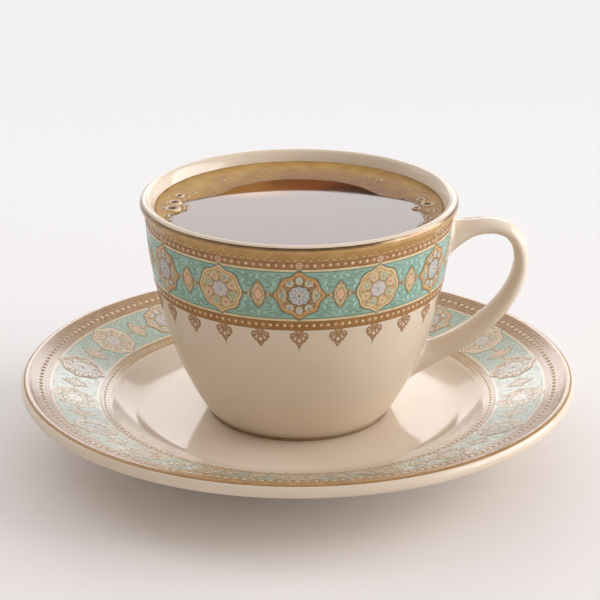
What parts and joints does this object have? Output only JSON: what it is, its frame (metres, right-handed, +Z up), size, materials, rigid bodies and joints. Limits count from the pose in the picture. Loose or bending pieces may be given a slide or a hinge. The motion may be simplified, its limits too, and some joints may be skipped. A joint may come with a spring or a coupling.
{
  "type": "cup of arabic coffee on a saucer",
  "caption": "Handled china cup filled with dark coffee under a ring of froth, standing on its broad saucer; ornamental border and gilt rims.",
  "frame": {"origin": "middle of the saucer's foot ring, on the surface that it stands on", "axes": "+Z up; the cup's handle points along +X"},
  "size_m": [0.1506, 0.1506, 0.0695],
  "materials": {
    "cup_china": "glossy cream glaze with an ornamental border",
    "saucer_china": "glossy cream glaze with an ornamental border",
    "coffee": "clear dark brown liquid with a mirror-like surface",
    "froth": "golden brown froth with small bubbles"
  },
  "bodies": {
    "root": {"saucer": "saucer_china", "cup": "cup_china", "coffee": "coffee", "froth": "froth"}
  },
  "joints": []
}
